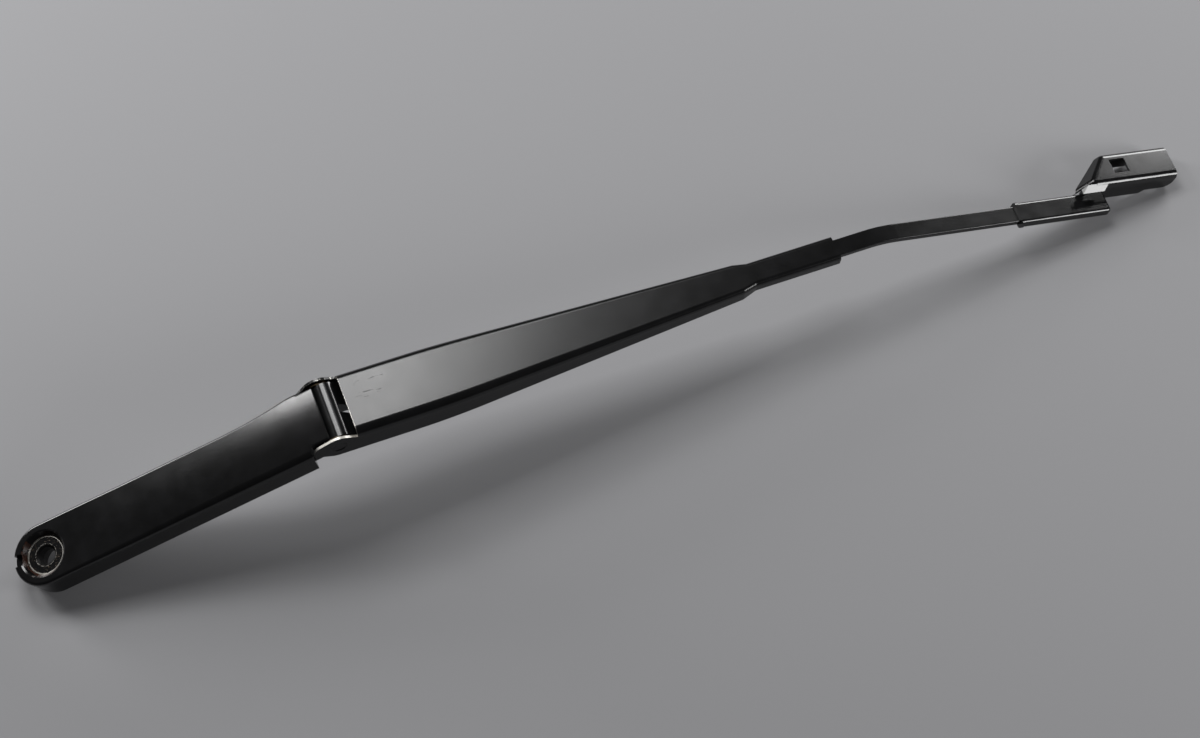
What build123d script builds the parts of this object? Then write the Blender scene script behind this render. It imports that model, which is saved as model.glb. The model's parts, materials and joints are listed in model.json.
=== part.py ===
"""Windscreen wiper arm: cast head, pressed channel on a hinge, spring gear, rod and blade connector."""
import os
from math import acos, atan2, cos, degrees, hypot, radians, sin, sqrt

from build123d import *

# Attitude of the three straight runs, degrees. X runs along the arm, Y is the hinge axis, Z is up.
HEAD_PITCH = 16.35  # the head climbs from the spindle
ARM_DROP = 20.7  # the channel turns down from the head at its rest stop
ROD_DROP = 8.4  # the rod turns down again past the crimp
ROD_YAW = -5.5  # and swings to the near side

# Mounting head, measured along it from the spindle and up from its foot
HEAD_HEIGHT = 14.4
HEAD_WALL = 2.8
HEAD_ROOF = 3.0
BOSS_RADIUS = 15.0
RIM_EDGE, NEAR_EDGE = 1.4, 3.4  # rounding of the upper rim, and of the near edge past the waist
CROWN_START, CROWN_END, CROWN_RADIUS = 16.0, 45.0, 210.0  # flat at the boss, then domed across
WAIST_X, WAIST_Y = 97.0, 12.5  # far side is narrowest here, then flares to the hinge
HEAD_END, FAR_END, NEAR_END = 132.0, 14.6, -17.9
FAR_TIP = 136.5  # the far wall runs on to here, inside the ear
NEAR_LEAN = 3.0  # the near wall's end leans out this far from foot to top
POCKET_START = 18.0
DISH_RADIUS, SEAT_RADIUS, DISH_DEPTH = 11.0, 8.9, 3.0
BORE_RADIUS, BORE_LENGTH = 4.1, 3.8
BORE_CHAMFER = 1.2
TAPER_FOOT_RADIUS = 6.0
LIP_EDGE = 0.5  # bevel of the dish's upper edge
NOTCH_WIDTH, NOTCH_DEPTH, NOTCH_ANGLE = 5.6, 3.0, 170.0

# Hinge
HINGE_X, HINGE_DEPTH = 146.0, 7.6  # the axis lies this far below the top of the head
PLATE_END = 144.8  # the head's top stops here, a step above the barrel
BARREL_RADIUS = 6.3
BARREL_X, BARREL_Z = 1.7, 0.3  # its middle, from the axis toward the channel
NOSE_END, NOSE_FOOT = 11.4, -4.0  # apron that slopes off the barrel under the channel's roof
PIN_RADIUS = 2.75
RUNNING_CLEARANCE = 0.05
BUSH_WALL = 1.65
BUSH_LENGTH = 9.0
FLANGE_RADIUS, FLANGE_THICKNESS = 6.5, 1.0
EAR_CLEARANCE = 0.15
RIVET_FLARE, RIVET_DEPTH, RIVET_SINK = 3.7, 0.9, 0.35

# Channel, measured from the hinge along the arm
SHEET = 1.2
CHANNEL_TOP = HINGE_DEPTH  # above the hinge axis
CHANNEL_WIDTH, CHANNEL_HEIGHT = 32.5, 15.4
CHANNEL_START, TAPER_START, TAPER_END = 9.0, 54.0, 204.0
TAPER_EASE = 16.0  # the taper sets in gently over this length either side of its start
NECK_WIDTH, NECK_HEIGHT = 16.3, 7.7
CRIMP_START, CRIMP_END = 211.0, 256.0
CRIMP_WIDTH = 13.2
WIDE_EDGE, NECK_EDGE = 4.0, 2.2  # rounding of the folded upper edges
EAR_RADIUS = CHANNEL_HEIGHT - CHANNEL_TOP  # its foot is level with the walls' foot
EAR_NOSE_X, EAR_NOSE_RADIUS = -6.5, 4.9
FAR_NOSE_Z, NEAR_NOSE_Z = -4.2, 0.0  # the near ear reaches higher behind the hinge
SEAM = 1.2

# Rod
ROD_WIDTH, ROD_THICKNESS = 9.0, 3.2
ROD_EDGE = 0.6  # rounding of its long edges
ROD_BEND_X, ROD_BEND_RADIUS = 281.0, 90.0
TAIL_HOOK_X, TAIL_HOOK_Z = 92.0, 0.0
TAIL_BRIDGE = 5.2  # from the hook hole to the tail's end
TAIL_BEND_1, TAIL_BEND_2, TAIL_BEND_RADIUS = 112.0, 158.0, 60.0
HOOK_HOLE = 1.8

# Blade connector, measured from the sleeve's mouth along the rod
SLEEVE_START = 77.0  # past the rod's bend
SLEEVE_LENGTH, SLEEVE_WIDTH, SLEEVE_HEIGHT = 52.6, 12.5, 5.4
SLEEVE_EDGE, SLEEVE_END_EDGE = 1.8, 1.5
ROD_INSERT = 50.0
LIP_LENGTH, LIP_RISE = 1.6, 0.35
HOOD_TOP, HOOD_FOOT = 12.1, -0.9
HOOD_NEAR, HOOD_FAR, HOOD_END = 3.6, 22.4, 92.8
HOOD_BACK_NEAR, HOOD_BACK_FAR = 39.3, 55.5  # oblique back edge of the top plate
HOOD_BACK_RAKE = 9.5  # the back wall leans out this far at its foot
BACK_FOOT_NEAR, BACK_FOOT_FAR, BACK_FOOT_END = 2.9, 8.8, 58.0  # the rear part's foot, rising to far
SHOULDER_Y, SHOULDER_Z = 1.8, 8.8  # foot of the slope that leaves the near top edge over the sleeve
SHOULDER_DEPTH, SHOULDER_RISE = 3.1, 2.6
SHOULDER_START, SHOULDER_END, SHOULDER_LEAN = 36.0, 48.5, 3.0  # its ends lean forward up the slope
HOOD_SHEET = 1.4
HOOD_EDGE = 3.2
WINDOW_X, WINDOW_Y, WINDOW_LENGTH, WINDOW_WIDTH = 61.5, 13.8, 9.0, 8.4
FOOT_STEP_X, FOOT_STEP_RISE, FOOT_CORNER = 75.0, 2.4, 5.0

# Spring gear, measured from the hinge axis in the head
ANCHOR_X, ANCHOR_Z, ANCHOR_RADIUS = -19.0, -3.4, 2.5
ANCHOR_FAR, ANCHOR_NEAR = 12.7, 16.3  # its ends sit in grooves in the head's walls
LINK_LENGTH = 34.0
LINK_THICKNESS, LINK_WIDTH = 3.0, 4.0
LINK_DIP, LINK_DIP_1, LINK_DIP_2, LINK_BEND = 8.0, 12.2, 25.0, 5.0
LINK_EYE, LINK_HOOK_EYE, LINK_HOOK_HOLE = 4.6, 3.6, 1.7
LINK_SLOT = 4.2
SLOT_HEADROOM = 3.4
WIRE = 2.0
COIL_RADIUS = 3.4  # to the middle of the wire
COIL_BORE = 2.6
COIL_COUNT, COIL_PITCH = 12, 5.125
COIL_SIDES, WIRE_SIDES = 16, 8
HOOK_SEAT = 0.03  # the wire stands this far off the hole it pulls on


def tilt(angle):
    """Direction in the XZ plane at the given angle above X."""
    return Vector(cos(radians(angle)), 0, sin(radians(angle)))


def level_plane(origin, angle):
    """Plane that runs along a tilted run, with its normal upward."""
    return Plane(origin=origin, x_dir=tilt(angle), z_dir=tilt(angle + 90))


def side_plane(origin, angle):
    """Plane that shows a tilted run from the near side, x along it and y upward."""
    return Plane(origin=origin, x_dir=tilt(angle), z_dir=(0, -1, 0))


def cross_plane(frame, x):
    """Plane across a run, x to the far side and y upward."""
    return Plane(origin=frame.from_local_coords((x, 0, 0)), x_dir=frame.y_dir, z_dir=frame.x_dir)


def direction(frame, local):
    """A direction given in a frame's own axes, in the part's axes."""
    return frame.from_local_coords(local) - frame.origin


ARM_PITCH = HEAD_PITCH - ARM_DROP
SEAT_Z = HEAD_HEIGHT - DISH_DEPTH
BORE_TOP = SEAT_Z - BORE_CHAMFER
BORE_FOOT = BORE_TOP - BORE_LENGTH
# The part's origin is the foot of the spindle bore, where the taper meets it.
HEAD = level_plane(tilt(HEAD_PITCH + 90) * -BORE_FOOT, HEAD_PITCH)
HEAD_SIDE = side_plane(HEAD.origin, HEAD_PITCH)
SPINDLE = Axis((0, 0, 0), HEAD.z_dir)
HINGE_Z = HEAD_HEIGHT - HINGE_DEPTH
PIVOT = HEAD.from_local_coords((HINGE_X, 0, HINGE_Z))
HINGE = Axis(PIVOT, (0, 1, 0))
HINGE_SECTION = Plane(origin=PIVOT, x_dir=(0, 1, 0), z_dir=HEAD.x_dir)
ARM = level_plane(PIVOT, ARM_PITCH)
ARM_SIDE = side_plane(PIVOT, ARM_PITCH)
ROD_Z = CHANNEL_TOP - SHEET - ROD_THICKNESS / 2

# The rod past its bend: turned from the arm about one axis, so the bar doesn't twist.
_drop, _yaw = radians(ROD_DROP), radians(ROD_YAW)
ROD_RUN = Vector(cos(_drop) * cos(_yaw), cos(_drop) * sin(_yaw), -sin(_drop))
BEND_AXIS = Axis((0, 0, 0), Vector(1, 0, 0).cross(ROD_RUN))
ROD_UP = Vector(0, 0, 1).rotate(BEND_AXIS, degrees(acos(ROD_RUN.X)))
BEND = ARM.from_local_coords((ROD_BEND_X, 0, ROD_Z))
ROD = Plane(origin=BEND, x_dir=direction(ARM, ROD_RUN), z_dir=direction(ARM, ROD_UP))
CONNECTOR = Plane(
    origin=ROD.from_local_coords((SLEEVE_START, 0, 0)), x_dir=ROD.x_dir, z_dir=ROD.z_dir
)

# The spring's line of pull, from the anchor pin to the hook hole in the rod's tail
ANCHOR = HEAD.from_local_coords((HINGE_X + ANCHOR_X, 0, HINGE_Z + ANCHOR_Z))
ANCHOR_END = side_plane(ANCHOR + Vector(0, ANCHOR_FAR, 0), HEAD_PITCH)
HOOK = ARM.from_local_coords((TAIL_HOOK_X, 0, TAIL_HOOK_Z))
PULL = HOOK - ANCHOR
PULL_ANGLE = degrees(atan2(PULL.Z, PULL.X))
LINK_SIDE = side_plane(ANCHOR, PULL_ANGLE)
SPRING = level_plane(LINK_SIDE.from_local_coords((LINK_LENGTH, 0, 0)), PULL_ANGLE)
SPRING_SIDE = side_plane(SPRING.origin, PULL_ANGLE)
SPRING_SPAN = PULL.length - LINK_LENGTH

EAR_INNER = CHANNEL_WIDTH / 2 - SHEET
KNUCKLE_HALF = EAR_INNER - EAR_CLEARANCE - FLANGE_THICKNESS
BUSH_BORE = PIN_RADIUS + RUNNING_CLEARANCE
BUSH_RADIUS = BUSH_BORE + BUSH_WALL


def near_side(x):
    """Near edge of the head's plan: straight from the boss to the hinge."""
    return (NEAR_END + BOSS_RADIUS) * x / HEAD_END - BOSS_RADIUS


def far_side(x):
    """Far edge of the head's plan: straight to the waist, then flaring until it is beside the ear."""
    slope = (WAIST_Y - BOSS_RADIUS) / WAIST_X
    if x < WAIST_X:
        return BOSS_RADIUS + slope * x
    flare = (FAR_END - BOSS_RADIUS - slope * HEAD_END) / (HEAD_END - WAIST_X) ** 2
    return min(FAR_END, BOSS_RADIUS + slope * x + flare * (x - WAIST_X) ** 2)


def head_section(x, near, far, near_edge):
    """Sketch across the head: upright walls, a top that is flat or domed, rounded upper edges."""
    with BuildSketch(cross_plane(HEAD, x)) as section:
        with BuildLine():
            if x < CROWN_END:
                top = Line((near, HEAD_HEIGHT), (far, HEAD_HEIGHT))
            else:
                near_top, far_top = (
                    (y, HEAD_HEIGHT - CROWN_RADIUS + sqrt(CROWN_RADIUS**2 - y**2)) for y in (near, far)
                )
                top = ThreePointArc(near_top, (0, HEAD_HEIGHT), far_top)
            Polyline(top @ 1, (far, 0), (near, 0), top @ 0)
        make_face()
        fillet(section.vertices().group_by(Axis.X)[0].sort_by(Axis.Y)[-1], near_edge)
        fillet(section.vertices().group_by(Axis.X)[-1].sort_by(Axis.Y)[-1], RIM_EDGE)
    return section.sketch


def bar_section(x):
    """Section of the head's bar, its near edge rounding off more toward the waist."""
    near_edge = RIM_EDGE + (NEAR_EDGE - RIM_EDGE) * min(x / WAIST_X, 1)
    return head_section(x, near_side(x), far_side(x), near_edge)


def pocket_section(x):
    """Section of the hollow under the bar."""
    near, far = near_side(x) + HEAD_WALL, far_side(x) - HEAD_WALL
    with BuildSketch(cross_plane(HEAD, x)) as section:
        with Locations(((near + far) / 2, HEAD_HEIGHT - HEAD_ROOF)):
            Rectangle(far - near, HEAD_HEIGHT, align=(Align.CENTER, Align.MAX))
    return section.sketch


def is_dish_rim(edge):
    """Whether an edge lies on the upper rim of the nut's dish."""
    local = HEAD.to_local_coords(edge @ 0.5)
    on_rim = abs(hypot(local.X, local.Y) - DISH_RADIUS) < RUNNING_CLEARANCE
    return on_rim and edge.geom_type == GeomType.CIRCLE


BLOCK_START = HEAD_END - HEAD_WALL
FLARE = [WAIST_X + (HEAD_END - WAIST_X) * part for part in (0, 0.35, 0.6, 0.8, 1)]

# Mounting head: round-ended bar, domed across, with a flared far side
with BuildPart() as mounting_head:
    with BuildSketch(cross_plane(HEAD, 0)) as boss:
        Rectangle(BOSS_RADIUS, HEAD_HEIGHT, align=(Align.MIN, Align.MIN))
        fillet(boss.vertices().group_by(Axis.X)[-1].sort_by(Axis.Y)[-1], RIM_EDGE)
    revolve(axis=SPINDLE, revolution_arc=180)
    loft([bar_section(x) for x in (0, CROWN_START, CROWN_END, *FLARE, FAR_TIP)], ruled=True)
    # hollow underside
    pocket = [pocket_section(x) for x in (POCKET_START, *FLARE[:-1], BLOCK_START)]
    loft(pocket, ruled=True, mode=Mode.SUBTRACT)
    # the near wall stops short, clear of the ear
    with BuildSketch(HEAD_SIDE.offset(KNUCKLE_HALF)):
        with BuildLine():
            Polyline(
                (HEAD_END, 0), (HEAD_END + NEAR_LEAN, HEAD_HEIGHT), (HINGE_X, HEAD_HEIGHT), (HINGE_X, 0),
                close=True,
            )
        make_face()
    extrude(amount=BOSS_RADIUS, mode=Mode.SUBTRACT)
    # knuckle: the domed top runs on between the ears and steps down to the barrel round the hinge axis
    extrude(head_section(FAR_TIP, -KNUCKLE_HALF, KNUCKLE_HALF, RIM_EDGE), amount=PLATE_END - FAR_TIP)
    with BuildSketch(ARM_SIDE):
        with Locations((BARREL_X, BARREL_Z)):
            Circle(BARREL_RADIUS)
        brow = Vector(BARREL_X, BARREL_Z) + Vector(1, 1).normalized() * BARREL_RADIUS
        with BuildLine():
            Polyline(
                (0, 0), (brow.X, brow.Y), (NOSE_END, brow.X + brow.Y - NOSE_END), (NOSE_END, NOSE_FOOT),
                (0, NOSE_FOOT), close=True,
            )
        make_face()
    extrude(amount=KNUCKLE_HALF, both=True)
    # dished nut seat, spindle bore and its taper below
    with BuildSketch(HEAD_SIDE):
        with BuildLine():
            Polyline(
                (0, 0), (TAPER_FOOT_RADIUS, 0), (BORE_RADIUS, BORE_FOOT), (BORE_RADIUS, BORE_TOP),
                (BORE_RADIUS + BORE_CHAMFER, SEAT_Z), (SEAT_RADIUS, SEAT_Z),
                (DISH_RADIUS, HEAD_HEIGHT), (0, HEAD_HEIGHT), close=True,
            )
        make_face()
    revolve(axis=SPINDLE, mode=Mode.SUBTRACT)
    chamfer(mounting_head.edges().filter_by(is_dish_rim), LIP_EDGE)
    # pry notch through the rim
    with BuildSketch(HEAD.offset(HEAD_HEIGHT - NOTCH_DEPTH)):
        with PolarLocations(BOSS_RADIUS, 1, start_angle=NOTCH_ANGLE):
            Rectangle(2 * (BOSS_RADIUS - DISH_RADIUS) + 1, NOTCH_WIDTH)
    extrude(amount=2 * NOTCH_DEPTH, mode=Mode.SUBTRACT)
    # slot for the spring link, open below and in front
    with BuildSketch(HEAD_SIDE):
        with Locations((BLOCK_START - HEAD_WALL, HINGE_Z + SLOT_HEADROOM)):
            Rectangle(HEAD_END, 2 * HEAD_HEIGHT, align=(Align.MIN, Align.MAX))
    extrude(amount=LINK_SLOT / 2, both=True, mode=Mode.SUBTRACT)
    # bores for the bushes and the hinge pin, grooves from below for the anchor pin
    with BuildSketch(HINGE_SECTION):
        with BuildLine():
            Polyline(
                (0, 0), (0, PIN_RADIUS + 5 * RUNNING_CLEARANCE),
                (KNUCKLE_HALF - BUSH_LENGTH, PIN_RADIUS + 5 * RUNNING_CLEARANCE),
                (KNUCKLE_HALF - BUSH_LENGTH, BUSH_RADIUS), (KNUCKLE_HALF, BUSH_RADIUS),
                (KNUCKLE_HALF, 0), close=True,
            )
        make_face()
        mirror(about=Plane.YZ)
    revolve(axis=HINGE, mode=Mode.SUBTRACT)
    with BuildSketch(ANCHOR_END):
        Circle(ANCHOR_RADIUS)
        Rectangle(2 * ANCHOR_RADIUS, HEAD_HEIGHT, align=(Align.CENTER, Align.MAX))
    extrude(amount=ANCHOR_FAR + ANCHOR_NEAR, mode=Mode.SUBTRACT)

# Anchor pin across the head, its ends in the grooves
with BuildPart() as anchor_pin:
    with BuildSketch(ANCHOR_END):
        Circle(ANCHOR_RADIUS)
    extrude(amount=ANCHOR_FAR + ANCHOR_NEAR)

# Flanged bushes, one from each side of the knuckle
with BuildPart() as hinge_bushes:
    with BuildSketch(HINGE_SECTION):
        with BuildLine():
            Polyline(
                (KNUCKLE_HALF - BUSH_LENGTH, BUSH_BORE), (KNUCKLE_HALF - BUSH_LENGTH, BUSH_RADIUS),
                (KNUCKLE_HALF, BUSH_RADIUS), (KNUCKLE_HALF, FLANGE_RADIUS),
                (KNUCKLE_HALF + FLANGE_THICKNESS, FLANGE_RADIUS),
                (KNUCKLE_HALF + FLANGE_THICKNESS, BUSH_BORE), close=True,
            )
        make_face()
        mirror(about=Plane.YZ)
    revolve(axis=HINGE)

EAR_OUTER = CHANNEL_WIDTH / 2


def pin_profile(sink):
    """Half section of the hinge pin with its ends flared, each sunk this far below the ear's face."""
    flare = RIVET_FLARE - (RIVET_FLARE - PIN_RADIUS) * sink / RIVET_DEPTH
    with BuildSketch(HINGE_SECTION) as half:
        with BuildLine():
            Polyline(
                (0, 0), (0, PIN_RADIUS), (EAR_OUTER - RIVET_DEPTH, PIN_RADIUS),
                (EAR_OUTER - sink, flare), (EAR_OUTER - sink, 0), close=True,
            )
        make_face()
        mirror(about=Plane.YZ)
    return half.sketch


# Hinge pin, flared into the countersunk ears at both ends
with BuildPart() as hinge_pin:
    revolve(pin_profile(RIVET_SINK), axis=HINGE)


def channel_section(x, width, height, edge, inset=0.0):
    """Sketch across the channel: a block with its two upper edges rounded, or its inside."""
    with BuildSketch(cross_plane(ARM, x)) as section:
        with Locations((0, CHANNEL_TOP - inset)):
            Rectangle(width - 2 * inset, height + 4 * inset, align=(Align.CENTER, Align.MAX))
        fillet(section.vertices().sort_by(Axis.Y)[-2:], edge - inset)
    return section.sketch


CRIMP_HEIGHT = ROD_THICKNESS + 2 * SHEET
WIDE = (CHANNEL_WIDTH, CHANNEL_HEIGHT, WIDE_EDGE)
NECK = (NECK_WIDTH, NECK_HEIGHT, NECK_EDGE)
CRIMP = (CRIMP_WIDTH, CRIMP_HEIGHT, NECK_EDGE)
THROAT = (ROD_WIDTH + 2 * SHEET, CRIMP_HEIGHT, SHEET + ROD_EDGE)

EASE = [TAPER_START + TAPER_EASE * part for part in (-1, -0.5, 0, 0.5, 1)]


def tapered(x):
    """Width, height and edge of the channel: full at the ears, easing into a straight taper to the neck."""
    past = x - TAPER_START
    run = max(past, 0) if abs(past) > TAPER_EASE else (past + TAPER_EASE) ** 2 / (4 * TAPER_EASE)
    part = run / (TAPER_END - TAPER_START)
    return [wide + (neck - wide) * part for wide, neck in zip(WIDE, NECK)]


# Channel: folded sheet, parallel at the ears, tapering to the neck, crimped round the rod
with BuildPart() as arm_channel:
    taper = [(x, tapered(x)) for x in (CHANNEL_START, *EASE, TAPER_END)]
    stations = taper + [(CRIMP_START, CRIMP), (CRIMP_END, CRIMP)]
    loft([channel_section(x, *size) for x, size in stations], ruled=True)
    # inside of the fold, closing to the rod's width at the crimp
    inner = [channel_section(x, *size, inset=SHEET) for x, size in taper]
    inner.append(channel_section(CRIMP_START, *THROAT, inset=SHEET))
    loft(inner, ruled=True, mode=Mode.SUBTRACT)
    # seat for the rod and the seam where the two folds meet under it
    with BuildSketch(cross_plane(ARM, CRIMP_START)):
        with Locations((0, ROD_Z)):
            RectangleRounded(ROD_WIDTH, ROD_THICKNESS, ROD_EDGE)
            Rectangle(SEAM, 2 * CRIMP_HEIGHT, align=(Align.CENTER, Align.MAX))
    extrude(amount=CRIMP_END - CRIMP_START, mode=Mode.SUBTRACT)
    # ears: each wall runs on past the roof as a rounded plate beside the knuckle
    wall_top, wall_foot = CHANNEL_TOP - WIDE_EDGE, CHANNEL_TOP - CHANNEL_HEIGHT
    for inner_face, way, nose_z in ((EAR_INNER, 1, NEAR_NOSE_Z), (-EAR_INNER, -1, FAR_NOSE_Z)):
        with BuildSketch(ARM_SIDE.offset(inner_face)):
            with BuildLine():
                CenterArc((0, 0), EAR_RADIUS, 0, 360)
                CenterArc((EAR_NOSE_X, nose_z), EAR_NOSE_RADIUS, 0, 360)
                Line((CHANNEL_START + SHEET, wall_foot), (CHANNEL_START + SHEET, wall_top))
            make_hull()
        extrude(amount=way * SHEET)
    # countersunk holes for the hinge pin
    revolve(pin_profile(0), axis=HINGE, mode=Mode.SUBTRACT)

# Rod: flat bar from the hook hole in its tail, through the crimp and the bend, into the sleeve
with BuildPart() as arm_rod:
    with BuildSketch(ARM_SIDE):
        with BuildLine():
            FilletPolyline(
                (TAIL_HOOK_X - TAIL_BRIDGE, TAIL_HOOK_Z), (TAIL_BEND_1, TAIL_HOOK_Z),
                (TAIL_BEND_2, ROD_Z), (TAPER_END, ROD_Z), radius=TAIL_BEND_RADIUS,
            )
        trace(line_width=ROD_THICKNESS)
    extrude(amount=ROD_WIDTH / 2 - ROD_EDGE, both=True)
    tail_corners = arm_rod.edges().filter_by(Axis((0, 0, 0), ARM.z_dir)).group_by(Axis.X)[0]
    fillet(tail_corners, ROD_WIDTH / 3)
    with BuildSketch(ARM):
        with Locations((TAIL_HOOK_X, 0)):
            Circle(HOOK_HOLE)
    extrude(amount=ROD_THICKNESS, both=True, mode=Mode.SUBTRACT)
    with BuildLine() as bend_line:
        FilletPolyline(
            ARM.from_local_coords((TAPER_END, 0, ROD_Z)), BEND,
            ROD.from_local_coords((SLEEVE_START + ROD_INSERT, 0, 0)), radius=ROD_BEND_RADIUS,
        )
    with BuildSketch(cross_plane(ARM, TAPER_END)):
        with Locations((0, ROD_Z)):
            RectangleRounded(ROD_WIDTH, ROD_THICKNESS, ROD_EDGE)
    sweep(path=bend_line.wires()[0])


def back_edge(level):
    """Where the hood's oblique back meets its near side at a level, and how far it runs back per width."""
    rake = HOOD_BACK_RAKE * (HOOD_TOP - level) / (HOOD_TOP - HOOD_FOOT)
    return HOOD_BACK_NEAR - rake, (HOOD_BACK_FAR - HOOD_BACK_NEAR) / (HOOD_FAR - HOOD_NEAR)


def hood_outline(level, inset):
    """Plan of the hood at a level above the rod: square front, oblique raked back."""
    back, slope = back_edge(level)
    near_back = back + inset * (slope + sqrt(1 + slope**2))
    far_back = back + slope * (HOOD_FAR - HOOD_NEAR) + inset * (sqrt(1 + slope**2) - slope)
    front = HOOD_END + 2 * inset
    with BuildSketch(CONNECTOR.offset(level)) as outline:
        with BuildLine():
            Polyline(
                (near_back, HOOD_NEAR + inset), (front, HOOD_NEAR + inset),
                (front, HOOD_FAR - inset), (far_back, HOOD_FAR - inset), close=True,
            )
        make_face()
    return outline.sketch


def shoulder_outline(level, near, far, lean):
    """Plan of the shoulder over the sleeve at a level, shifted forward by its lean."""
    with BuildSketch(CONNECTOR.offset(level)) as outline:
        with Locations((SHOULDER_START + lean, near)):
            Rectangle(SHOULDER_END - SHOULDER_START, far - near, align=(Align.MIN, Align.MIN))
    return outline.sketch


CONNECTOR_UP = Axis((0, 0, 0), CONNECTOR.z_dir)
CONNECTOR_RUN = Axis((0, 0, 0), CONNECTOR.x_dir)

# Sleeve of the connector, with a rolled lip at its mouth and a rounded end
with BuildPart() as sleeve_body:
    with BuildSketch(cross_plane(CONNECTOR, 0)):
        RectangleRounded(SLEEVE_WIDTH, SLEEVE_HEIGHT, SLEEVE_EDGE)
    extrude(amount=SLEEVE_LENGTH)
    fillet(sleeve_body.faces().sort_by(CONNECTOR_RUN)[-1].edges(), SLEEVE_END_EDGE)
    with BuildSketch(cross_plane(CONNECTOR, 0)):
        RectangleRounded(SLEEVE_WIDTH + 2 * LIP_RISE, SLEEVE_HEIGHT + 2 * LIP_RISE, SLEEVE_EDGE + LIP_RISE)
    extrude(amount=LIP_LENGTH)

# Blade connector: raked hood with a square window, pressed in one with the sleeve on the rod
with BuildPart() as blade_connector:
    loft([hood_outline(HOOD_FOOT, 0), hood_outline(HOOD_TOP, 0)], ruled=True)
    top_edges = blade_connector.faces().sort_by(CONNECTOR_UP)[-1].edges()
    back_edges = blade_connector.faces().sort_by(CONNECTOR_RUN)[0].edges()
    front_edges = blade_connector.faces().sort_by(CONNECTOR_RUN)[-1].edges()
    foot_edges = blade_connector.faces().sort_by(CONNECTOR_UP)[0].edges()
    fillet((top_edges + back_edges) - front_edges - foot_edges, HOOD_EDGE)
    hollow = [hood_outline(level, HOOD_SHEET) for level in (HOOD_FOOT, HOOD_TOP - HOOD_SHEET)]
    loft(hollow, ruled=True, mode=Mode.SUBTRACT)
    with BuildSketch(CONNECTOR.offset(HOOD_TOP)):
        with Locations((WINDOW_X, WINDOW_Y)):
            Rectangle(WINDOW_LENGTH, WINDOW_WIDTH)
    extrude(amount=-2 * HOOD_SHEET, mode=Mode.SUBTRACT)
    # the walls' foot steps up toward the front, with a round corner
    with BuildSketch(Plane(origin=CONNECTOR.origin, x_dir=CONNECTOR.x_dir, z_dir=-CONNECTOR.y_dir)):
        with BuildLine():
            step = Line((FOOT_STEP_X, HOOD_FOOT - 1), (FOOT_STEP_X, HOOD_FOOT))
            rise = Line(step @ 1, (FOOT_STEP_X + FOOT_STEP_RISE, HOOD_FOOT + FOOT_STEP_RISE))
            run = Line(rise @ 1, (HOOD_END - FOOT_CORNER, HOOD_FOOT + FOOT_STEP_RISE))
            nose = TangentArc(run @ 1, (HOOD_END, HOOD_FOOT + FOOT_STEP_RISE + FOOT_CORNER), tangent=(1, 0))
            Polyline(
                nose @ 1, (HOOD_END + 1, nose.position_at(1).Y), (HOOD_END + 1, HOOD_FOOT - 1), step @ 0,
            )
        make_face()
    extrude(amount=2 * HOOD_FAR, both=True, mode=Mode.SUBTRACT)
    # the rear part's foot is cut back, rising to the far side
    with BuildSketch(cross_plane(CONNECTOR, 0)):
        with BuildLine():
            Polyline(
                (SLEEVE_WIDTH / 2, BACK_FOOT_NEAR), (HOOD_FAR + 1, BACK_FOOT_FAR),
                (HOOD_FAR + 1, HOOD_FOOT - 1), (SLEEVE_WIDTH / 2, HOOD_FOOT - 1), close=True,
            )
        make_face()
    extrude(amount=BACK_FOOT_END, mode=Mode.SUBTRACT)
    # shoulder over the sleeve: a slope that leaves the top plate's edge, undercut back to the near wall
    wall_middle, wall_inner = HOOD_NEAR + HOOD_SHEET / 2, HOOD_NEAR + HOOD_SHEET
    loft([
        shoulder_outline(SHOULDER_Z - SHOULDER_DEPTH, HOOD_NEAR + HOOD_SHEET / 4, wall_middle, 0),
        shoulder_outline(SHOULDER_Z, SHOULDER_Y, wall_middle, 0),
        shoulder_outline(SHOULDER_Z + SHOULDER_RISE, SHOULDER_Y + SHOULDER_DEPTH, wall_inner, SHOULDER_LEAN),
    ], ruled=True)
    add(sleeve_body.part)
    with BuildSketch(cross_plane(CONNECTOR, 0)):
        RectangleRounded(ROD_WIDTH, ROD_THICKNESS, ROD_EDGE)
    extrude(amount=ROD_INSERT, mode=Mode.SUBTRACT)

# Spring link: flat hook that dips under the hinge pin and clears it when the arm is raised
with BuildPart() as spring_link:
    with BuildSketch(LINK_SIDE):
        with BuildLine():
            FilletPolyline(
                (0, 0), (LINK_DIP_1, -LINK_DIP), (LINK_DIP_2, -LINK_DIP), (LINK_LENGTH, 0),
                radius=LINK_BEND,
            )
        trace(line_width=LINK_WIDTH)
        Circle(LINK_EYE)
        with Locations((LINK_LENGTH, 0)):
            Circle(LINK_HOOK_EYE)
            Circle(LINK_HOOK_HOLE, mode=Mode.SUBTRACT)
        Circle(ANCHOR_RADIUS + RUNNING_CLEARANCE, mode=Mode.SUBTRACT)
    extrude(amount=LINK_THICKNESS / 2, both=True)


def hook_reach(plate, hole, lean=0.0):
    """Distance from a hole's centre to the hook's centre, with the wire against the plate's edge.

    The plate may lean against the spring's line; the edge that leans toward the hook then bears.
    """
    inner = COIL_RADIUS - WIRE / 2
    rise = plate / 2 * cos(lean) + hole * sin(lean)
    return hole * cos(lean) - plate / 2 * sin(lean) + sqrt(inner**2 - rise**2) - HOOK_SEAT


TAIL_LEAN = radians(PULL_ANGLE - ARM_PITCH)
LINK_HOOK = hook_reach(LINK_THICKNESS, LINK_HOOK_HOLE)
TAIL_HOOK = SPRING_SPAN - hook_reach(ROD_THICKNESS, HOOK_HOLE, TAIL_LEAN)
COIL_START = LINK_HOOK + (TAIL_HOOK - LINK_HOOK - COIL_COUNT * COIL_PITCH) / 2


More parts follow.
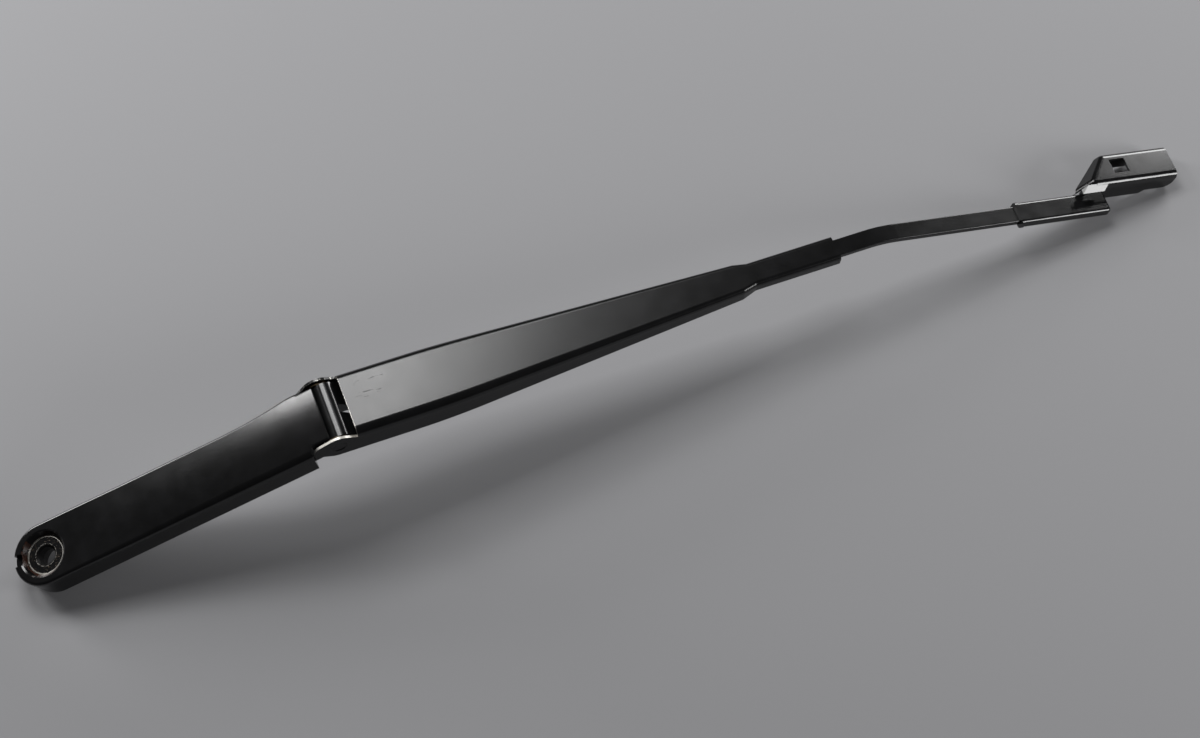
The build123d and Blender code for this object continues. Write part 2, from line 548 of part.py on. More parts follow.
def coil_section(i):
    """Section across the coil, in turn at the foot and at the crest of a ridge."""
    with BuildSketch(cross_plane(SPRING, COIL_START + i * COIL_PITCH / 2)) as section:
        RegularPolygon(COIL_RADIUS + i % 2 * WIRE / 2, COIL_SIDES)
    return section.sketch


# Tension spring: close-wound coil, a half-round hook at each end, the two a quarter turn apart
with BuildPart() as tension_spring:
    loft([coil_section(i) for i in range(2 * COIL_COUNT + 1)], ruled=True)
    with BuildSketch(cross_plane(SPRING, COIL_START)):
        Circle(COIL_BORE)
    extrude(amount=COIL_COUNT * COIL_PITCH, mode=Mode.SUBTRACT)
    coil_end = COIL_START + COIL_COUNT * COIL_PITCH
    for plane, root, centre, way in (
        (SPRING, COIL_START + WIRE / 3, LINK_HOOK, -1), (SPRING_SIDE, coil_end - WIRE / 3, TAIL_HOOK, 1)
    ):
        with BuildLine(plane) as hook:
            shank = Line((root, COIL_RADIUS), (centre, COIL_RADIUS))
            bow = ThreePointArc(shank @ 1, (centre + way * COIL_RADIUS, 0), (centre, -COIL_RADIUS))
        with BuildSketch(Plane(origin=hook.line @ 0, z_dir=hook.line % 0)):
            RegularPolygon(WIRE / 2, WIRE_SIDES)
        sweep(path=hook.wires()[0])

os.makedirs("parts", exist_ok=True)
for name, piece in (
    ("mounting_head", mounting_head), ("anchor_pin", anchor_pin), ("hinge_bushes", hinge_bushes),
    ("hinge_pin", hinge_pin), ("arm_channel", arm_channel), ("arm_rod", arm_rod),
    ("blade_connector", blade_connector), ("spring_link", spring_link), ("tension_spring", tension_spring),
):
    piece.part.label = name
    export_step(piece.part, f"parts/{name}.step")
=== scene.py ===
"""Looks of the wiper arm: stoved paint, bare metal, coil spring, studio light and the photograph's camera."""
import json
import logging
import math
from dataclasses import dataclass, field
from enum import Enum

import bpy
import numpy as np
from mathutils import Matrix, Vector

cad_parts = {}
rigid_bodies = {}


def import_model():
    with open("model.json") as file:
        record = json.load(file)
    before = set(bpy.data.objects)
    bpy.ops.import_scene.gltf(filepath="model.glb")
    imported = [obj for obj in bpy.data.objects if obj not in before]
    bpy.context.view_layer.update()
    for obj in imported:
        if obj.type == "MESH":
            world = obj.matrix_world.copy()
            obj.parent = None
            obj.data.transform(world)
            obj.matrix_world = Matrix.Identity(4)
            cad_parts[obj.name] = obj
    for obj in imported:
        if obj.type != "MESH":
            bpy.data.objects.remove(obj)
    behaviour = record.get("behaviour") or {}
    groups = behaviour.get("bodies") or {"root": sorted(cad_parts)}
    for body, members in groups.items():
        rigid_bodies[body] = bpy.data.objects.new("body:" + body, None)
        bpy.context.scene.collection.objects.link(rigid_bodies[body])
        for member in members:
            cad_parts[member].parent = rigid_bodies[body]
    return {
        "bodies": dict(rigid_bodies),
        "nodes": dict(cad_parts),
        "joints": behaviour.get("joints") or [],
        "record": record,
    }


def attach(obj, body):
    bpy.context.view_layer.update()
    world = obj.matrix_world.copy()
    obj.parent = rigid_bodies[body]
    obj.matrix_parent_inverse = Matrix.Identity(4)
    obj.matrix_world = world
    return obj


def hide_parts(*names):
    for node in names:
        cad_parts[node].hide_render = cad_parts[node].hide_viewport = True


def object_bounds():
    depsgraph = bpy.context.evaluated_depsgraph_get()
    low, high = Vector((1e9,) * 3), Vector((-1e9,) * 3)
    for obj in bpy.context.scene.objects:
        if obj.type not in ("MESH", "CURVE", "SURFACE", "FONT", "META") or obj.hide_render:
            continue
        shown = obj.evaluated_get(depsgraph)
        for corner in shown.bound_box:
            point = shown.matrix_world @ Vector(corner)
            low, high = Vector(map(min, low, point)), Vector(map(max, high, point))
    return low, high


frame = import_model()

log = logging.getLogger("wiper_arm")
CAD_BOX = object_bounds()
MM = 0.001
ACROSS = np.array((0.0, 1.0, 0.0))
BLACK = "#000000"


def linear(colour: str) -> tuple[float, float, float, float]:
    """Turn an sRGB hex colour into linear RGBA, by the standard's straight foot and power curve.

    Args:
        colour: Six hex digits with a leading hash.

    Returns:
        Linear red, green, blue and an alpha of one.
    """
    parts = [int(colour[i:i + 2], 16) / 255 for i in (1, 3, 5)]
    return (*(c / 12.92 if c <= 0.04045 else ((c + 0.055) / 1.055) ** 2.4 for c in parts), 1.0)


def unit(vector: np.ndarray) -> np.ndarray:
    """Scale a vector, or each row of an array of them, to length one."""
    return vector / np.linalg.norm(vector, axis=-1, keepdims=True)


def add(tree: bpy.types.NodeTree, kind: str, links: dict[str | int, object] | None = None,
        **settings: object) -> bpy.types.Node:
    """Add a node, set its properties and sockets, and link its inputs.

    Args:
        tree: Node tree that takes the node.
        kind: Blender's node type.
        links: Input socket name or index to an output socket, or to a value.
        settings: Properties of the node itself.

    Returns:
        The new node.
    """
    node = tree.nodes.new(kind)
    for name, value in settings.items():
        setattr(node, name, value)
    for socket, value in (links or {}).items():
        if isinstance(value, bpy.types.NodeSocket):
            tree.links.new(value, node.inputs[socket])
        else:
            node.inputs[socket].default_value = value
    return node


def number(tree: bpy.types.NodeTree, operation: str, *values: object) -> bpy.types.NodeSocket:
    """Work out a number from sockets or values, in the order of the math node's inputs."""
    return add(tree, "ShaderNodeMath", dict(enumerate(values)), operation=operation).outputs[0]


def gauge(tree: bpy.types.NodeTree, operation: str, *vectors: object) -> bpy.types.NodeSocket:
    """Work out a length, a distance or a dot product of vectors."""
    return add(tree, "ShaderNodeVectorMath", dict(enumerate(vectors)), operation=operation).outputs["Value"]


def stretch(tree: bpy.types.NodeTree, vector: bpy.types.NodeSocket,
            scale: tuple[float, float, float]) -> bpy.types.NodeSocket:
    """Scale coordinates along each axis."""
    return add(tree, "ShaderNodeMapping", {"Vector": vector, "Scale": scale}).outputs["Vector"]


def ramp(tree: bpy.types.NodeTree, value: bpy.types.NodeSocket, low: float, high: float,
         **settings: object) -> bpy.types.NodeSocket:
    """Stretch a number from between two bounds to between zero and one, and cut off the rest."""
    bounds = {"Value": value, "From Min": low, "From Max": high}
    return add(tree, "ShaderNodeMapRange", bounds, **settings).outputs["Result"]


def noise(tree: bpy.types.NodeTree, vector: bpy.types.NodeSocket, size_mm: float, detail: float,
          fade: float = 0.5) -> bpy.types.NodeSocket:
    """Make smooth noise with finer noise on it.

    Args:
        tree: Node tree of the material.
        vector: Coordinates in metres.
        size_mm: Size of the coarsest lumps, in millimetres.
        detail: Number of finer layers.
        fade: Strength of each finer layer against the one before.

    Returns:
        The noise's socket, from zero to one.
    """
    inputs = {"Vector": vector, "Scale": 1 / (size_mm * MM), "Detail": detail, "Roughness": fade}
    return add(tree, "ShaderNodeTexNoise", inputs).outputs["Fac"]


class Slot(Enum):
    """Material slots of the record, named here but not given to any of the scene's own pieces."""

    SPRING = "spring_steel"


class Measure(Enum):
    """How a limit of a worn place is measured from its origin."""

    ALONG = "along the axis"
    AWAY = "away from the axis"


class Facing(Enum):
    """Which faces a worn place takes in, by the axis of its first limit."""

    ANY = "all of them"
    ENDS = "those square to the axis"
    EDGES = "those that run along the axis"


class Mix(Enum):
    """What a mix node mixes: Blender's data type, its two input sockets and its output socket."""

    NUMBER = ("FLOAT", 2, 3, 0)
    COLOUR = ("RGBA", 6, 7, 2)


def mix(tree: bpy.types.NodeTree, kind: Mix, share: bpy.types.NodeSocket, first: object,
        second: object) -> bpy.types.NodeSocket:
    """Go over from one number or colour to another.

    Args:
        tree: Node tree of the material.
        kind: Whether numbers or colours are mixed.
        share: Zero for the first and one for the second.
        first: Socket or value at zero.
        second: Socket or value at one.

    Returns:
        The mixed socket.
    """
    data_type, start, end, result = kind.value
    node = add(tree, "ShaderNodeMix", {0: share, start: first, end: second}, data_type=data_type)
    return node.outputs[result]


@dataclass(frozen=True)
class Lay:
    """Hinge and the spring's two ends in metres, and the spindle's upward direction, from the frame."""

    hinge: np.ndarray
    anchor: np.ndarray
    hook: np.ndarray
    spindle: np.ndarray

    @classmethod
    def read(cls, cad: dict) -> "Lay":
        """Read the joints and mounts of the loaded frame.


        Returns:
            The places and the direction.
        """
        joints = {joint["name"]: np.array(joint["pos_m"]) for joint in cad["joints"]}
        mounts = {mount["name"]: mount for mount in cad["record"]["mounts"]}
        return cls(joints["arm_hinge"], joints["link_swing"], joints["spring_swing"],
                   -np.array(mounts["spindle_bore"]["axis"]))

    @property
    def along(self) -> np.ndarray:
        """Direction of the arm, from the hinge to the spring's far hook."""
        return unit(self.hook - self.hinge)

    @property
    def pull(self) -> np.ndarray:
        """Direction of the spring's pull, from the head's pin to the far hook."""
        return unit(self.hook - self.anchor)


@dataclass(frozen=True)
class Limit:
    """One bound of a worn place: a slab along an axis or a ring round it, in millimetres."""

    axis: np.ndarray
    low: float
    high: float
    measure: Measure = Measure.ALONG

    def inside(self, tree: bpy.types.NodeTree, offset: bpy.types.NodeSocket,
               shift: bpy.types.NodeSocket) -> bpy.types.NodeSocket:
        """Make a mask that is one between the two bounds.

        Args:
            tree: Node tree of the material.
            offset: Place on the surface, from the origin.
            shift: Small distance that makes the bounds ragged.

        Returns:
            The mask's socket.
        """
        axis = tuple(self.axis)
        if self.measure is Measure.ALONG:
            size = gauge(tree, "DOT_PRODUCT", offset, axis)
        else:
            arm = add(tree, "ShaderNodeVectorMath", {0: offset, 1: axis}, operation="CROSS_PRODUCT")
            size = gauge(tree, "LENGTH", arm.outputs["Vector"])
        middle, half = (self.low + self.high) / 2 * MM, (self.high - self.low) / 2 * MM
        return number(tree, "COMPARE", number(tree, "ADD", size, shift), middle, half)


@dataclass(frozen=True)
class Band:
    """Ring of wear, dirt or painted shade: how far it reaches from a level on an axis and from a radius round
    it, in millimetres.
    """

    below: float
    above: float
    inward: float
    outward: float

    def limits(self, axis: np.ndarray, level: float, radius: float) -> tuple[Limit, Limit]:
        """Give the slab round the level and the ring round the radius."""
        return (Limit(axis, level - self.below, level + self.above),
                Limit(axis, radius - self.inward, radius + self.outward, Measure.AWAY))


@dataclass(frozen=True)
class Wear:
    """A place where the finish is worn, soiled, scuffed or darkened by painted shade, inside several limits
    and broken up by a grain.

    Most of the grain's noise lies in a range of its height, the spread, over which the cover moves a step of
    half width soft. Square is the cosine that parts faces square to an axis from those along it.
    """

    origin: np.ndarray
    limits: tuple[Limit, ...]
    colour: str
    metallic: float
    roughness: float
    cover: float = 0.8
    grain_mm: float = 0.6
    ragged_mm: float = 0.2
    streak: float = 1.0
    facing: Facing = Facing.ANY
    grain_detail: float = 3.0
    spread: float = 0.5
    soft: float = 0.04
    square: float = 0.6

    def mask(self, tree: bpy.types.NodeTree, place: bpy.types.Node) -> bpy.types.NodeSocket:
        """Make the mask: the product of all limits, the facing and a grain that leaves the given cover.

        Args:
            tree: Node tree of the material.
            place: Texture coordinates.

        Returns:
            The mask's socket, from zero to one.
        """
        spot = place.outputs["Object"]
        drawn = stretch(tree, spot, (1 / self.streak, 1.0, 1.0))
        grain = noise(tree, drawn, self.grain_mm, self.grain_detail)
        edge = 0.5 + (0.5 - self.cover) * self.spread
        total = ramp(tree, grain, edge - self.soft, edge + self.soft)
        ragged = self.ragged_mm * MM
        shift = number(tree, "MULTIPLY_ADD", grain, 2 * ragged, -ragged)
        offset = add(tree, "ShaderNodeVectorMath", {0: spot, 1: tuple(self.origin)}, operation="SUBTRACT")
        masks = [limit.inside(tree, offset.outputs["Vector"], shift) for limit in self.limits]
        if self.facing is not Facing.ANY:
            turn = gauge(tree, "DOT_PRODUCT", place.outputs["Normal"], tuple(self.limits[0].axis))
            test = "GREATER_THAN" if self.facing is Facing.ENDS else "LESS_THAN"
            masks.append(number(tree, test, number(tree, "ABSOLUTE", turn), self.square))
        for mask in masks:
            total = number(tree, "MULTIPLY", total, mask)
        return total


@dataclass(frozen=True)
class Finish:
    """A surface with two tones and two degrees of gloss in soft clouds, a fine relief, and places of wear and
    of painted shade.
    """

    name: str
    tones: tuple[str, str]
    roughness: tuple[float, float]
    metallic: float
    cloud_mm: float
    relief_mm: float
    depth_mm: float
    wear: tuple[Wear, ...] = ()
    cloud_detail: float = 4.0
    cloud_range: tuple[float, float] = (0.3, 0.7)
    relief_detail: float = 3.0
    relief_fade: float = 0.45

    def vector(self, tree: bpy.types.NodeTree, place: bpy.types.Node) -> bpy.types.NodeSocket:
        """Give the coordinates that the clouds and the relief lie on: metres on the piece."""
        return place.outputs["Object"]

    def height(self, tree: bpy.types.NodeTree, vector: bpy.types.NodeSocket) -> bpy.types.NodeSocket:
        """Make the relief, from zero to one: smooth noise with finer noise on it."""
        return noise(tree, vector, self.relief_mm, self.relief_detail, self.relief_fade)

    def build(self) -> bpy.types.Material:
        """Make the node material: clouds of tone and gloss, each place of wear or painted shade over them,
        then the relief.

        Returns:
            The material.
        """
        material = bpy.data.materials.new(self.name)
        material.use_nodes = True
        tree = material.node_tree
        shader = tree.nodes["Principled BSDF"]
        place = add(tree, "ShaderNodeTexCoord")
        vector = self.vector(tree, place)
        cloud = ramp(tree, noise(tree, vector, self.cloud_mm, self.cloud_detail), *self.cloud_range)
        colour = mix(tree, Mix.COLOUR, cloud, *map(linear, self.tones))
        rough, metal = mix(tree, Mix.NUMBER, cloud, *self.roughness), self.metallic
        for wear in self.wear:
            mask = wear.mask(tree, place)
            colour = mix(tree, Mix.COLOUR, mask, colour, linear(wear.colour))
            rough = mix(tree, Mix.NUMBER, mask, rough, wear.roughness)
            if metal != wear.metallic:
                metal = mix(tree, Mix.NUMBER, mask, metal, wear.metallic)
        tree.links.new(colour, shader.inputs["Base Color"])
        tree.links.new(rough, shader.inputs["Roughness"])
        if isinstance(metal, float):
            shader.inputs["Metallic"].default_value = metal
        else:
            tree.links.new(metal, shader.inputs["Metallic"])
        bump = add(tree, "ShaderNodeBump", {"Height": self.height(tree, vector), "Strength": 1.0,
                                            "Distance": self.depth_mm * MM})
        tree.links.new(bump.outputs["Normal"], shader.inputs["Normal"])
        return material


@dataclass(frozen=True)
class StovedPaint(Finish):
    """Satin black stoving paint: near-black with a broad soft sheen, faint orange peel and duller clouds."""

    name: str = "satin black stoving paint"
    tones: tuple[str, str] = ("#090909", "#0e0e0f")
    roughness: tuple[float, float] = (0.19, 0.22)
    metallic: float = 0.0
    cloud_mm: float = 9.0
    relief_mm: float = 1.2
    depth_mm: float = 0.006


@dataclass(frozen=True)
class TurnedSteel(Finish):
    """Plain turned steel: grey, half bright, with fine rings round the pin's own axis."""

    name: str = "turned plain steel"
    tones: tuple[str, str] = ("#8f8c88", "#b3b0aa")
    roughness: tuple[float, float] = (0.28, 0.42)
    metallic: float = 1.0
    cloud_mm: float = 4.0
    relief_mm: float = 2.4
    depth_mm: float = 0.004
    ring_mm: float = 0.16

    def vector(self, tree: bpy.types.NodeTree, place: bpy.types.Node) -> bpy.types.NodeSocket:
        """Stretch the coordinates along the pin, so that the noise becomes rings."""
        return stretch(tree, place.outputs["Object"], (1.0, self.relief_mm / self.ring_mm, 1.0))


@dataclass(frozen=True)
class ZincPlate(Finish):
    """Zinc plate on pressed steel: pale grey with a faint warm bloom and a fine frosted grain."""

    name: str = "zinc plate"
    tones: tuple[str, str] = ("#a19d94", "#bdbab3")
    roughness: tuple[float, float] = (0.3, 0.46)
    metallic: float = 1.0
    cloud_mm: float = 3.0
    relief_mm: float = 0.5
    depth_mm: float = 0.006


@dataclass(frozen=True)
class SpringWire(Finish):
    """Oiled spring wire: dark drawn steel with lines along the wire and a brown oil film in patches."""

    name: str = "oiled spring wire"
    tones: tuple[str, str] = ("#4a443d", "#77746f")
    roughness: tuple[float, float] = (0.26, 0.4)
    metallic: float = 1.0
    cloud_mm: float = 5.0
    relief_mm: float = 0.3
    depth_mm: float = 0.005
    line_stretch: float = 24.0

    def vector(self, tree: bpy.types.NodeTree, place: bpy.types.Node) -> bpy.types.NodeSocket:
        """Take the wire's own map, metres along and round it, drawn out along the wire."""
        return stretch(tree, place.outputs["UV"], (1.0 / self.line_stretch, 1.0, 1.0))


@dataclass(frozen=True)
class SinteredBronze(Finish):
    """Sintered bronze: dull yellow-brown, with the small open pores that hold its oil."""

    name: str = "sintered bronze"
    tones: tuple[str, str] = ("#2a241c", "#3f3628")
    roughness: tuple[float, float] = (0.36, 0.5)
    metallic: float = 1.0
    cloud_mm: float = 2.0
    relief_mm: float = 0.35
    depth_mm: float = 0.03
    pore_range: tuple[float, float] = (0.1, 0.3)

    def height(self, tree: bpy.types.NodeTree, vector: bpy.types.NodeSocket) -> bpy.types.NodeSocket:
        """Make pores, from zero to one: distance to scattered points, clipped so that only pits go down."""
        cells = add(tree, "ShaderNodeTexVoronoi", {"Vector": vector, "Scale": 1 / (self.relief_mm * MM)})
        return ramp(tree, cells.outputs["Distance"], *self.pore_range)


def dress(name: str, finish: Finish) -> None:
    """Give a CAD node its finish and report it.

    Args:
        name: Node of the frame.
        finish: Finish that it gets.
    """
    node = frame["nodes"][name]
    node.data.materials.clear()
    node.data.materials.append(finish.build())
    log.info("%s: %s", name, finish.name)


def tube(path: np.ndarray, normal: np.ndarray, radius: np.ndarray,
         sides: int) -> tuple[np.ndarray, list[list[int]], np.ndarray]:
    """Carry a circle along a path.

    Each station's circle is path + radius (cos a · normal + sin a · binormal), where the binormal is the
    path's tangent crossed with the normal. The two ends are cut square and closed by a flat face.

    Args:
        path: Stations along the middle of the wire, one row each.
        normal: Unit vector square to the path at each station.
        radius: Radius of the wire at each station.
        sides: Number of points round it.

    Returns:
        Vertices, faces, and the map of the faces' corners in metres along and round the wire.
    """
    count = len(path)
    tangent = unit(np.gradient(path, axis=0))
    normal = unit(normal - np.sum(normal * tangent, axis=1, keepdims=True) * tangent)
    binormal = np.cross(tangent, normal)
    angle = np.linspace(0, 2 * np.pi, sides, endpoint=False)[None, :, None]
    ring = np.cos(angle) * normal[:, None] + np.sin(angle) * binormal[:, None]
    vertices = (path[:, None] + radius[:, None, None] * ring).reshape(-1, 3)
    row, column = np.meshgrid(np.arange(count - 1), np.arange(sides), indexing="ij")
    after = (column + 1) % sides
    quads = np.stack((row * sides + column, row * sides + after, (row + 1) * sides + after,
                      (row + 1) * sides + column), axis=-1).reshape(-1, 4)
    caps = [list(range(sides))[::-1], list(range((count - 1) * sides, count * sides))]
    run = np.concatenate(([0.0], np.cumsum(np.linalg.norm(np.diff(path, axis=0), axis=1))))
    turn = 2 * np.pi * radius[0] / sides
    corner = np.stack((run[np.stack((row, row, row + 1, row + 1), axis=-1)],
                       turn * np.stack((column, column + 1, column + 1, column), axis=-1)), axis=-1)
    corners = np.concatenate((corner.reshape(-1, 2), np.zeros((2 * sides, 2))))
    return vertices, quads.tolist() + caps, corners


@dataclass
class MountingHead:
    """Die-cast head: dished boss for the spindle nut, flat bar and hinge knuckle. Sizes in millimetres.

    Heights are from the foot of the spindle bore, and radii from the spindle's axis.
    """

    seat: float = 5.0
    rim: float = 8.0
    dish_radius: float = 11.0
    seat_radius: float = 8.9
    hub_radius: float = 5.3
    wall_rust: Band = Band(2.7, 0.1, 2.1, 0.3)
    # Painted shade: reach of the near-black colour that stands for the shade inside the spindle hole.
    bore_painted_shade: Band = Band(11.4, -0.5, 5.3, 0.0)
    seat_dirt: Band = Band(0.2, 0.25, 3.6, 0.0)
    nut_mark: Band = Band(0.3, 0.6, 0.35, 0.25)
    hub_mark: Band = Band(0.4, 0.2, 0.3, 0.2)
    lip_mark: Band = Band(0.4, 0.1, 0.2, 0.4)
    damp_from: float = 2.0
    damp_side: np.ndarray = field(default_factory=lambda: unit(np.array((-1.0, -0.6, 0.0))))

    def dish_wear_and_shade(self, lay: Lay) -> tuple[Wear, ...]:
        """List what the nut, the pry tool and damp have done to the dish, and the painted shade in its hole.

        Args:
            lay: Places and axes of the frame.

        Returns:
            Rust on the wall, painted shade that darkens the hole, dirt on the seat, and bare rings at the
            nut, hole and lip.
        """
        def worn(band: Band, level: float, radius: float, *more: Limit, **look: object) -> Wear:
            """Lay a band round the spindle, for wear and for the painted shade in the hole."""
            return Wear(np.zeros(3), (*band.limits(lay.spindle, level, radius), *more), **look)

        damp = Limit(self.damp_side, self.damp_from, self.dish_radius)
        rust = worn(self.wall_rust, self.rim, self.dish_radius, damp, colour="#2a150b", metallic=0.0,
                    roughness=0.3, cover=0.62, grain_mm=2.2, ragged_mm=0.4)
        # Painted shade: the spindle hole's walls are coloured near-black to stand for the shade inside it.
        bore_shade = worn(self.bore_painted_shade, self.seat, self.hub_radius, colour="#030303", metallic=0.0,
                     roughness=0.34, cover=0.9, grain_mm=2.0)
        dirt = worn(self.seat_dirt, self.seat, self.seat_radius, colour="#75644e", metallic=0.0,
                    roughness=0.6, cover=0.14, grain_mm=0.5)
        nut = worn(self.nut_mark, self.seat, self.seat_radius, colour="#a5a29c", metallic=1.0,
                   roughness=0.36, cover=0.72, ragged_mm=0.12)
        hub = worn(self.hub_mark, self.seat, self.hub_radius, colour="#8d8a85", metallic=1.0,
                   roughness=0.4, cover=0.5, ragged_mm=0.1)
        lip = worn(self.lip_mark, self.rim, self.dish_radius, colour="#4a4744", metallic=1.0,
                   roughness=0.42, cover=0.28, grain_mm=2.0, ragged_mm=0.15)
        return rust, bore_shade, dirt, nut, hub, lip

    def dress(self, lay: Lay) -> None:
        """Paint the casting, worn in its dish and darkened by painted shade in its spindle hole."""
        dress("mounting_head", StovedPaint("satin black paint on the casting", roughness=(0.155, 0.18),
                                           wear=self.dish_wear_and_shade(lay)))


@dataclass
class Hinge:
    """Hollow rivet through the knuckle, with a flanged bush at each side."""

    def dress(self) -> None:
        """Paint the rivet with the arm, and leave the bushes in bare bronze."""
        dress("hinge_pin", StovedPaint("satin black paint on the rivet", roughness=(0.4, 0.5)))
        dress("hinge_bushes", SinteredBronze())


@dataclass
class ArmChannel:
    """Pressed channel with two ears at the hinge and a crimped neck at the rod, in mm from the hinge."""

    ear_inside: float = 14.7
    ear_outside: float = 18.0
    ear_reach: float = 13.0
    start: float = 9.18
    crimp_edge: tuple[float, float] = (255.8, 257.8)
    scuff_along: tuple[float, float] = (15.0, 30.0)
    scuff_across: tuple[float, float] = (0.0, 10.0)

    def wear(self, lay: Lay) -> tuple[Wear, ...]:
        """List the cut edges where the paint has gone, and the scuffs behind the hinge.

        Args:
            lay: Places and axes of the frame.

        Returns:
            Bare edges of both ears, of the channel's start and of the crimp, and the scuffed patch.
        """
        bare = {"colour": "#b9b6b0", "metallic": 1.0, "roughness": 0.4}
        reach = Limit(ACROSS, 0.0, self.ear_reach, Measure.AWAY)
        inner = Limit(ACROSS, -self.ear_inside, self.ear_inside)
        near_ear = Wear(lay.hinge, (Limit(ACROSS, -self.ear_outside, -self.ear_inside), reach),
                        cover=0.82, facing=Facing.EDGES, **bare)
        far_ear = Wear(lay.hinge, (Limit(ACROSS, self.ear_inside, self.ear_outside), reach),
                       cover=0.3, grain_mm=0.9, facing=Facing.EDGES, **bare)
        start = Wear(lay.hinge, (Limit(lay.along, 0.0, self.start), inner),
                     cover=0.55, ragged_mm=0.1, **bare)
        crimp = Wear(lay.hinge, (Limit(lay.along, *self.crimp_edge),),
                     cover=0.8, facing=Facing.ENDS, **bare)
        scuff = Wear(lay.hinge, (Limit(lay.along, *self.scuff_along), Limit(ACROSS, *self.scuff_across)),
                     colour="#070707", metallic=0.0, roughness=0.34,
                     cover=0.2, grain_mm=0.8, ragged_mm=3.0, streak=6.0)
        return near_ear, far_ear, start, crimp, scuff

    def dress(self, lay: Lay) -> None:
        """Paint the pressing, bare at its cut edges."""
        dress("arm_channel", StovedPaint("satin black paint on the pressing", wear=self.wear(lay)))


@dataclass
class ArmRod:
    """Flat bar crimped into the channel, bent up and on into the connector's sleeve."""

    def dress(self) -> None:
        """Paint the bar a little glossier than the channel, as drawn bar takes paint more evenly."""
        dress("arm_rod", StovedPaint("satin black paint on drawn bar", roughness=(0.18, 0.21),
                                     relief_mm=0.9))


@dataclass
class BladeConnector:
    """Pressed sleeve and raked hood that take the blade."""

    def dress(self) -> None:
        """Paint the pressing."""
        dress("blade_connector", StovedPaint("satin black paint on the connector",
                                             tones=("#0b0b0b", "#121213"), roughness=(0.15, 0.18)))


